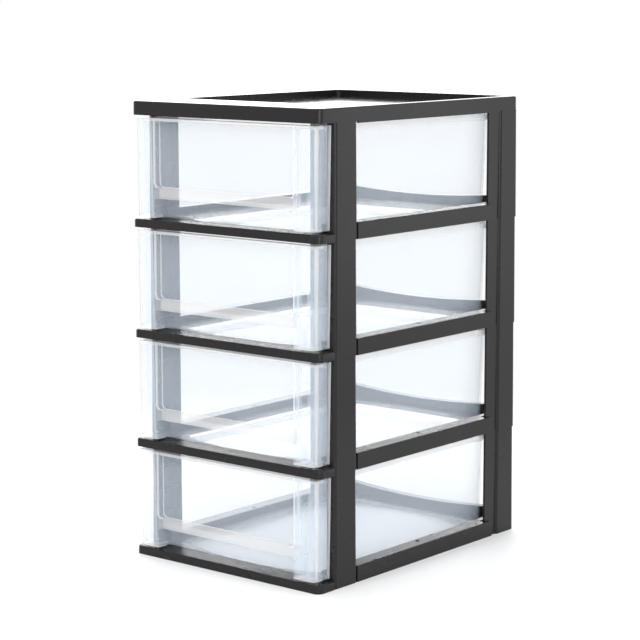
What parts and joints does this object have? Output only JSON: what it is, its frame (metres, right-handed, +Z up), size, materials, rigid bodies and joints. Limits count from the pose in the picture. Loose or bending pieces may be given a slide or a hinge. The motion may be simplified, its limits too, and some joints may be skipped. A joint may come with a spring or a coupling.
{
  "type": "plastic drawer tower",
  "caption": "Knock-down desktop tower of hazy see-through drawers with recessed bar grips, sliding in a dark moulded frame with a tray top.",
  "frame": {"origin": "on the floor under the middle of the tower", "axes": "+Z up, drawers open towards -Y, +X to the right seen from the front"},
  "size_m": [0.26, 0.35, 0.495],
  "materials": {
    "frame_plastic": "charcoal moulded polypropylene, fine satin texture, polished tray",
    "drawer_plastic": "hazy translucent polypropylene, frosted handle bar"
  },
  "bodies": {
    "frame": {"top_frame": "frame_plastic", "base_frame": "frame_plastic", "shelf_frame_1": "frame_plastic", "shelf_frame_2": "frame_plastic", "shelf_frame_3": "frame_plastic", "front_left_post_1": "frame_plastic", "front_left_post_2": "frame_plastic", "front_left_post_3": "frame_plastic", "front_left_post_4": "frame_plastic", "front_right_post_1": "frame_plastic", "front_right_post_2": "frame_plastic", "front_right_post_3": "frame_plastic", "front_right_post_4": "frame_plastic", "rear_left_post_1": "frame_plastic", "rear_left_post_2": "frame_plastic", "rear_left_post_3": "frame_plastic", "rear_left_post_4": "frame_plastic", "rear_right_post_1": "frame_plastic", "rear_right_post_2": "frame_plastic", "rear_right_post_3": "frame_plastic", "rear_right_post_4": "frame_plastic"},
    "drawer_1_body": {"drawer_1": "drawer_plastic"},
    "drawer_2_body": {"drawer_2": "drawer_plastic"},
    "drawer_3_body": {"drawer_3": "drawer_plastic"},
    "drawer_4_body": {"drawer_4": "drawer_plastic"}
  },
  "joints": [
    {"name": "drawer_1_slide", "type": "slide", "parent": "frame", "child": "drawer_1_body", "axis": [0, -1, 0], "range_m": [0, 0.226]},
    {"name": "drawer_2_slide", "type": "slide", "parent": "frame", "child": "drawer_2_body", "axis": [0, -1, 0], "range_m": [0, 0.226]},
    {"name": "drawer_3_slide", "type": "slide", "parent": "frame", "child": "drawer_3_body", "axis": [0, -1, 0], "range_m": [0, 0.226]},
    {"name": "drawer_4_slide", "type": "slide", "parent": "frame", "child": "drawer_4_body", "axis": [0, -1, 0], "range_m": [0, 0.226]}
  ]
}
